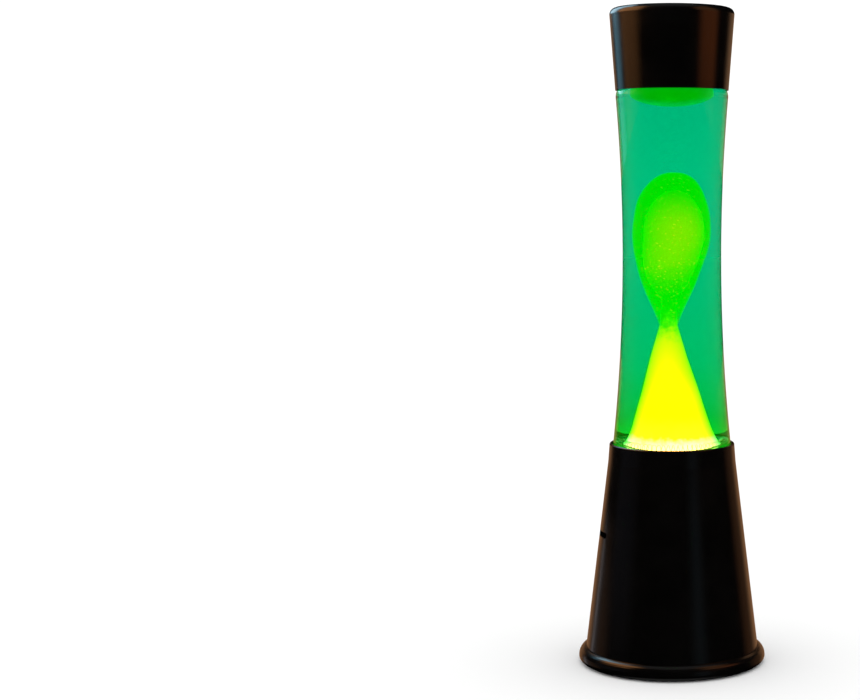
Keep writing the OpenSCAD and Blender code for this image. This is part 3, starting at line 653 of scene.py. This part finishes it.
FLOOR_R = 6
FLOOR_SHADE = 0.93
DIFFUSE_LIGHT = 1.18                        # the white round the stage, as it lights matt surfaces
SEEN_LIGHT = FLOOR_SHADE * DIFFUSE_LIGHT    # and as it is seen, so that the floor melts into it
# What gloss mirrors of the white: nothing below this steepness of the ray, and this much straight up or down
MIRRORED_FROM = 0.75
MIRRORED_LIGHT = 0.2


def make_floor():
    mesh = bpy.data.meshes.new("floor")
    bm = bmesh.new()
    bmesh.ops.create_circle(bm, cap_ends=True, radius=FLOOR_R, segments=96)
    bm.to_mesh(mesh)
    bm.free()
    floor = add_object("floor", mesh)
    paper = Material("floor_paper", (FLOOR_SHADE,) * 3, roughness=1.0, specular_ior_level=0.0)
    mesh.materials.append(paper.data)
    floor.visible_glossy = False


def make_world():
    """White all round for what is seen and lit, and almost dark for what gloss mirrors.

    The dark lets the cards show in the gloss.
    """
    world = bpy.data.worlds.new("studio")
    bpy.context.scene.world = world
    world.use_nodes = True
    nodes, links = world.node_tree.nodes, world.node_tree.links

    def made(kind, **settings):
        node = nodes.new("ShaderNode" + kind)
        for key, value in settings.items():
            setattr(node, key, value)
        return node

    rays = made("LightPath")
    solid = made("Math", operation="SUBTRACT")
    solid.inputs[0].default_value = 1.0
    links.new(rays.outputs["Is Transmission Ray"], solid.inputs[1])
    mirrored = made("Math", operation="MULTIPLY")
    links.new(rays.outputs["Is Glossy Ray"], mirrored.inputs[0])
    links.new(solid.outputs[0], mirrored.inputs[1])

    split = made("SeparateXYZ")
    links.new(made("TexCoord").outputs["Generated"], split.inputs[0])
    steep = made("Math", operation="ABSOLUTE")
    links.new(split.outputs["Z"], steep.inputs[0])
    dim = made("MapRange", interpolation_type="SMOOTHSTEP")
    for key, value in {
            "From Min": MIRRORED_FROM, "From Max": 1.0, "To Min": 0.0, "To Max": MIRRORED_LIGHT}.items():
        dim.inputs[key].default_value = value
    links.new(steep.outputs[0], dim.inputs["Value"])

    lit = made("MapRange")
    lit.inputs["To Min"].default_value, lit.inputs["To Max"].default_value = SEEN_LIGHT, DIFFUSE_LIGHT
    links.new(rays.outputs["Is Diffuse Ray"], lit.inputs["Value"])
    level = made("Mix", data_type="FLOAT")
    links.new(lit.outputs[0], level.inputs[2])
    links.new(mirrored.outputs[0], level.inputs[0])
    links.new(dim.outputs[0], level.inputs[3])
    links.new(level.outputs[0], nodes["Background"].inputs["Strength"])
    nodes["Background"].inputs["Color"].default_value = (1, 1, 1, 1)


CARD_R = 0.6
CARD_STEPS = 24
CARD_FADE = 12        # degrees over which a card's glow fades at each end
# Bottom and top of the cards that the base's wall, the cap's wall and the rounded edges mirror
LOW, CAP_LEVEL, HIGH = (-0.2, 0.15), (0.29, 0.46), (0.43, 1.15)
# Each card: from and to (degrees to the right of the front), bottom and top, colour
CARDS = [
    (-136, -112, CAP_LEVEL, (0.32, 0.74, 0.98)),
    (-106, -66, CAP_LEVEL, (0.70, 0.30, 0.10)),
    (54, 90, CAP_LEVEL, (0.72, 0.18, 0.04)),
    (130, 217, CAP_LEVEL, (0.38, 0.20, 0.10)),
    (135, 222, LOW, (0.46, 0.22, 0.10)),
    (-138, -121, (-0.2, 0.03), (0.62, 0.56, 0.58)),
    (-121, -95, (-0.2, 0.04), (0.14, 0.075, 0.045)),
    (-100, -60, (0.0, 0.15), (0.035, 0.04, 0.055)),
    (30, 43, (-0.1, 0.17), (0.06, 0.09, 0.11)),
    (112, 135, LOW, (0.17, 0.07, 0.03)),
    (-150, -120, HIGH, (2.3, 3.5, 4.2)),
    (-114, -62, HIGH, (3.2, 1.4, 0.5)),
    (46, 88, HIGH, (0.7, 0.28, 0.10)),
]


def card_mesh(name, start, width, low, high):
    """A strip of an upright cylinder round the lamp, whose UV map runs from 0 to 1 along it."""
    mesh = bpy.data.meshes.new(name)
    bm = bmesh.new()
    columns = []
    for k in range(CARD_STEPS + 1):
        a = math.radians(start + width * k / CARD_STEPS)
        columns.append([bm.verts.new((CARD_R * math.sin(a), -CARD_R * math.cos(a), z)) for z in (low, high)])
    along = bm.loops.layers.uv.new("along")
    for k, (a, b) in enumerate(zip(columns, columns[1:])):
        for loop, u in zip(bm.faces.new([a[0], b[0], b[1], a[1]]).loops, (k, k + 1, k + 1, k)):
            loop[along].uv = (u / CARD_STEPS, 0)
    bm.to_mesh(mesh)
    bm.free()
    return mesh


def make_cards():
    """Glowing cards round the lamp, seen only as mirrored light on the gloss.

    They are warm at the sides and behind, and cool at the left.
    """
    dark = (0, 0, 0)
    for i, (start, end, (low, high), colour) in enumerate(CARDS):
        width = end - start + CARD_FADE
        edge = CARD_FADE / width
        glow = Material(f"card_{i}", dark, emission_strength=1.0)
        along = glow.node("SeparateXYZ", {"Vector": glow.node("UVMap").outputs[0]}).outputs["X"]
        glow.drive("Emission Color", glow.ramp(along, [(0, dark), (edge, colour), (1 - edge, colour), (1, dark)]))
        card = add_object(f"card_{i}", card_mesh(f"card_{i}", start - CARD_FADE / 2, width, low, high))
        card.data.materials.append(glow.data)
        card.visible_camera = card.visible_diffuse = card.visible_transmission = card.visible_shadow = False


CAMERA_BACK, CAMERA_UP = 1.141, 0.2945
CAMERA_DOWN = math.radians(5.08)
LENS, SENSOR = 78.24, 36
LAMP_TO_RIGHT = 0.2813      # share of the picture's width that the lamp stands right of its middle


def make_camera():
    """In front of the lamp, level with the upper part of the bottle, and looking slightly down."""
    data = bpy.data.cameras.new("camera")
    camera = add_object("camera", data)
    data.sensor_width = SENSOR
    data.lens = LENS
    data.shift_x = -LAMP_TO_RIGHT
    camera.location = (0, -CAMERA_BACK, CAMERA_UP)
    camera.rotation_euler = (RIGHT - CAMERA_DOWN, 0, 0)
    bpy.context.scene.camera = camera
    bpy.context.scene.view_settings.view_transform = "Standard"


make_camera()
make_world()
make_cards()
make_floor()
paint_frame()
make_bottle()
make_liquid()
make_wax()
make_coil()
